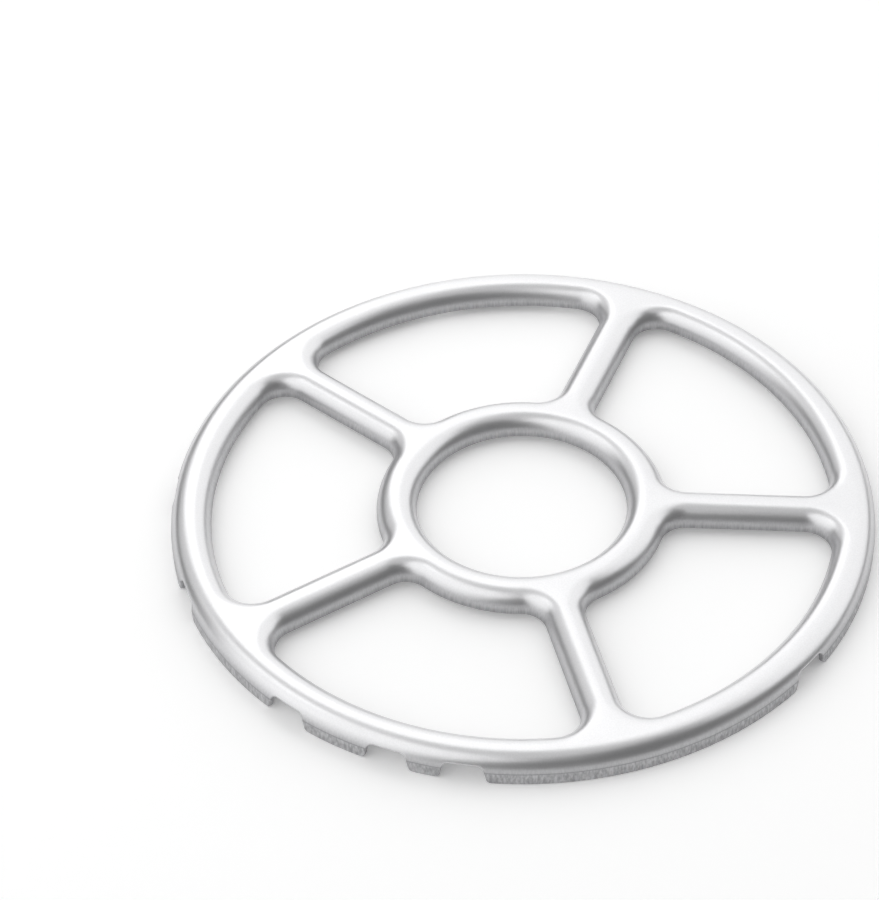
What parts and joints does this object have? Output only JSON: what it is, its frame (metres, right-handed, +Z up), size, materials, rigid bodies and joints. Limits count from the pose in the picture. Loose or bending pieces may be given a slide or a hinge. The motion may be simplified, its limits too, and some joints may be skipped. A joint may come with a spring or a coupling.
{
  "type": "stove grate",
  "caption": "Round pressed-steel trivet ring with spokes and an open hub, notched at its skirt to sit on a gas hob's pan support.",
  "frame": {"origin": "centre of the ring at the level of its feet", "axes": "+Z up out of the flat top; +X through the key notch, in the middle of a window"},
  "size_m": [0.1398, 0.1398, 0.0058],
  "materials": {
    "steel": "satin"
  },
  "bodies": {
    "root": {"grate": "steel"}
  },
  "joints": []
}
